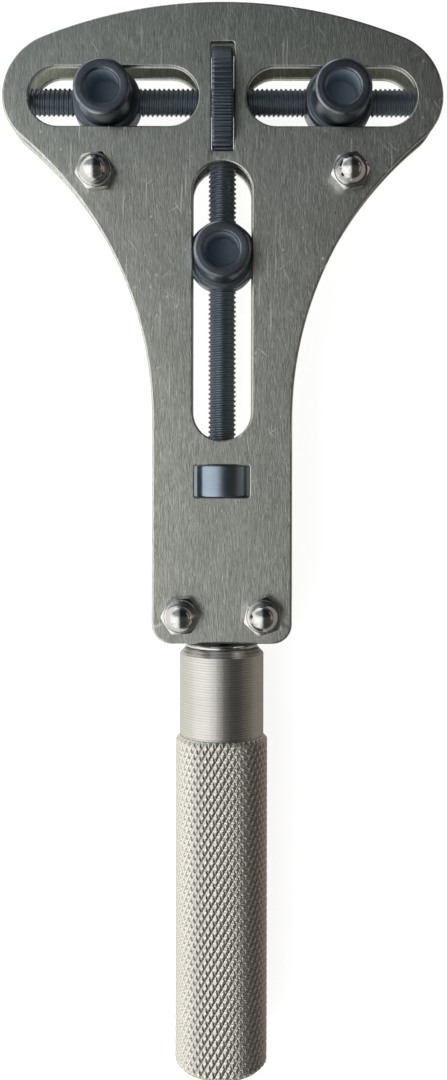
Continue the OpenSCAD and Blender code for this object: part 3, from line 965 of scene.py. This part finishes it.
def carry_on(bm, edges, profile):
    """Extends a ring of boundary edges through (radius, height) points, to a closed end."""
    level = bm.verts.layers.float["groove"]
    for r, z in profile:
        made = bmesh.ops.extrude_edge_only(bm, edges=edges)["geom"]
        edges = [g for g in made if isinstance(g, bmesh.types.BMEdge)]
        for v in {v for e in edges for v in e.verts}:
            a = atan2(v.co.y, v.co.x)
            v.co = (r * cos(a), r * sin(a), z)
            v[level] = 0
    bmesh.ops.holes_fill(bm, edges=edges)


def make_handle():
    """The knurled grip with its end face and centre hole, and the smooth neck with its bore."""
    low, top = HANDLE_Y
    grip_top = top - NECK_LENGTH
    middle = (low + grip_top) / 2
    groove_r, bore_depth = NECK_R - 0.16, 13
    end_face = [(GRIP_R - 0.95, low), (3.2, low + 0.02)]
    centre_hole = [(1.4, low + 0.03), (0.5, low + 0.75)]
    neck_groove = [(NECK_R + 0.03, grip_top), (groove_r, grip_top + 0.06),
                   (groove_r, grip_top + 0.3), (NECK_R, grip_top + 0.42)]
    neck_bevel = [(NECK_R, top - 1.08), (NECK_R - 0.05, top - 0.98),
                  (NECK_R - 0.88, top - 0.1), (NECK_R - 1.0, top)]
    bore = [(JOURNAL_R, top), (JOURNAL_R, top - bore_depth)]
    bm = knurled_sleeve(GRIP_R, low, grip_top, low_chamfer=0.8, high_chamfer=0.65)
    open_edges = [e for e in bm.edges if e.is_boundary]
    lower = [e for e in open_edges if e.verts[0].co.z < middle]
    upper = [e for e in open_edges if e.verts[0].co.z > middle]
    carry_on(bm, lower, end_face + centre_hole)
    carry_on(bm, upper, neck_groove + neck_bevel + bore)
    level = bm.verts.layers.float["groove"]
    grooves = [v[level] for v in bm.verts]
    mesh = make_mesh("knurled_handle", shell_of(bm), ALONG_Y)
    set_attribute(mesh, "groove", grooves)
    finish_piece(mesh, ["handle"], "handle_group", HANDLE_NICKEL, smooth=20)


def make_set_screw():
    """A headless screw with a hexagon socket, pointing down."""
    radius, rounding, key_r, key_depth = 1.5, 0.2, 0.87, 1.4
    low, high = node_box("handle_set_screw")
    offset = (0, (low.y + high.y) / 2 - DATUM.y, 0)
    z0, z1 = low.z - DATUM.z, high.z - DATUM.z
    body = filleted([(0, z0), (radius, z0), (radius, z1), (0, z1)], rounding)
    mesh = cut(make_mesh("socket_set_screw", revolved(body, 40), offset=offset),
               make_mesh("key", rod(key_r, z0 - 1, z0 + key_depth, 6), offset=offset))
    finish_piece(mesh, ["handle_set_screw"], "handle_group", DARK_SCREW)


# ---------------------------------------------------------------- floor, lights and camera
def make_floor():
    """A pale floor that is clear from below, so that the underside can be looked at."""
    size = 3.0
    mesh = bpy.data.meshes.new("floor")
    mesh.from_pydata([(-size, -size, 0), (size, -size, 0), (size, size, 0), (-size, size, 0)],
                     [], [(0, 1, 2, 3)])
    material, tree, shader = new_material("pale_floor", Roughness=0.9, Specular_IOR_Level=0.1,
                                          Emission_Color=(1, 1, 1, 1), Emission_Strength=0.82)
    tone = noise_value(tree, (9, 9, 9))
    connect(tree, shader, Base_Color=ramp(tree, tone, (0.2, 0.90), (0.8, 0.94)))
    clear = node(tree, "BsdfTransparent").outputs[0]
    from_below = node(tree, "NewGeometry").outputs["Backfacing"]
    sided = node(tree, "MixShader", in0=from_below, in1=shader.outputs[0], in2=clear)
    tree.links.new(sided.outputs[0], tree.nodes["Material Output"].inputs["Surface"])
    mesh.materials.append(material)
    floor = add_object("floor", mesh)
    floor.visible_glossy = False


def area_light(name, position, target, size, radiance, colour=(1, 1, 1)):
    """A rectangular soft light of that radiance, aimed at the target."""
    data = bpy.data.lights.new(name, "AREA")
    data.shape = "RECTANGLE"
    data.size, data.size_y = size
    data.energy = radiance * pi * size[0] * size[1]
    data.color = colour
    lamp = add_object(name, data)
    lamp.location = position
    aim = Vector(target) - Vector(position)
    lamp.rotation_mode = "QUATERNION"
    lamp.rotation_quaternion = aim.to_track_quat("-Z", "Y")


def make_world():
    """What the metals mirror: a dim room, lighter on the left, over a pale table.

    The camera itself sees a plain pale studio wall behind the floor.
    """
    world = bpy.data.worlds.new("studio")
    bpy.context.scene.world = world
    world.use_nodes = True
    tree = world.node_tree
    direction = node(tree, "TexCoord").outputs["Generated"]
    x, y, z = node(tree, "SeparateXYZ", Vector=direction).outputs
    leftward = scaled(tree, x, -0.5, 0.5)
    ahead = scaled(tree, y, 0.5, 0.5)
    upward = scaled(tree, z, 0.5, 0.5)
    room = ramp(tree, leftward,
                (0.00, (0.24, 0.20, 0.17)), (0.03, (0.13, 0.115, 0.105)), (0.10, 0.07),
                (0.21, 0.05), (0.42, 0.06), (0.48, 0.10), (0.52, 0.27), (0.57, 0.66),
                (0.63, 0.98), (0.69, 1.30), (0.77, 1.28), (0.86, 1.00), (1.00, 0.85))
    shade = ramp(tree, ahead, (0.1, 0.9), (0.35, 1.0), (0.48, 1.0), (0.57, 0.80),
                 (0.65, (0.31, 0.35, 0.37)), (0.9, (0.22, 0.26, 0.28)))
    overhead = ramp(tree, upward, (0.54, 0.0), (0.72, 1.0))
    room = mix_colour(tree, overhead, room, shade, "MULTIPLY")
    table = ramp(tree, leftward, (0.0, (0.30, 0.27, 0.24)), (0.40, (0.27, 0.26, 0.25)),
                 (0.56, (0.80, 0.79, 0.75)), (1.0, (1.0, 0.99, 0.94)))
    below = ramp(tree, upward, (0.45, 1.0), (0.505, 0.0))
    mirrored = mix_colour(tree, below, room, table)
    seen = node(tree, "LightPath").outputs["Is Camera Ray"]
    background = tree.nodes["Background"]
    background.inputs["Strength"].default_value = 1.0
    connect(tree, background, Color=mix_colour(tree, seen, mirrored, (0.95, 0.95, 0.94)))


def make_lights():
    """A large window on the left and a narrow warm glint on the right."""
    target = (0, 0.02, 0)
    area_light("window", (-0.61, -0.08, 0.33), target, size=(0.80, 0.60), radiance=0.40)
    area_light("warm_shelf", (0.52, 0.14, 0.24), target, size=(0.50, 0.07), radiance=0.4,
               colour=(1.0, 0.66, 0.48))


def make_camera():
    """Looks straight down from 213 mm above the spindles, a little above the slot's middle."""
    view_y, distance = 32.3, 213.0
    film, focal_share = 36.0, 1.162037
    data = bpy.data.cameras.new("camera")
    data.sensor_fit = "AUTO"
    data.sensor_width = film
    data.lens = film * focal_share
    data.shift_x, data.shift_y = 0.0014, -0.0833
    data.clip_start, data.clip_end = 0.01, 10
    camera = add_object("camera", data)
    camera.location = place([(0, view_y, distance)])[0]
    camera.rotation_euler = (0, 0, radians(0.1))
    bpy.context.scene.camera = camera


make_camera()
make_plates()
make_spacers()
make_block()
make_fasteners()
make_cross_spindle()
make_long_spindle()
make_thumbwheel()
make_holders()
make_collar()
make_washer()
make_handle()
make_set_screw()
make_floor()
make_world()
make_lights()
bpy.context.scene.view_settings.view_transform = "Standard"
